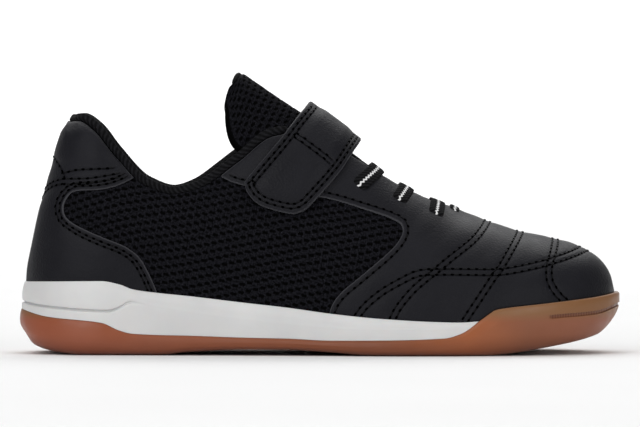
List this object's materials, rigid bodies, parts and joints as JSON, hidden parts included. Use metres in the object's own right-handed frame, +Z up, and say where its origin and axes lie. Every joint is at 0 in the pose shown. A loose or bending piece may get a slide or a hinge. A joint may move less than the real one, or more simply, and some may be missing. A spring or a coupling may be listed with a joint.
{
  "type": "indoor court shoe",
  "caption": "Child's right indoor court shoe, empty: black mesh and smooth panels, instep strap, elastic laces, white midsole and gum outsole.",
  "frame": {"origin": "under the middle of the sole, on the floor", "axes": "+X from heel to toe, +Y to the inner (medial) side, +Z up"},
  "size_m": [0.205, 0.0784, 0.0956],
  "materials": {
    "gum_rubber": "satin translucent gum",
    "white_foam": "matte moulded foam",
    "black_knit": "knitted binding and lining",
    "black_mesh": "open air mesh",
    "black_leather": "smooth synthetic leather, satin",
    "black_lace": "flat elastic lace with a white zigzag"
  },
  "bodies": {
    "root": {"outsole": "gum_rubber", "midsole": "white_foam", "insole": "black_knit", "upper": "black_mesh", "tongue": "black_mesh", "vamp_overlay": "black_leather", "heel_counter": "black_leather", "collar_binding": "black_knit", "strap": "black_leather", "lace_bar_1": "black_lace", "lace_bar_2": "black_lace", "lace_bar_3": "black_lace"}
  },
  "joints": []
}
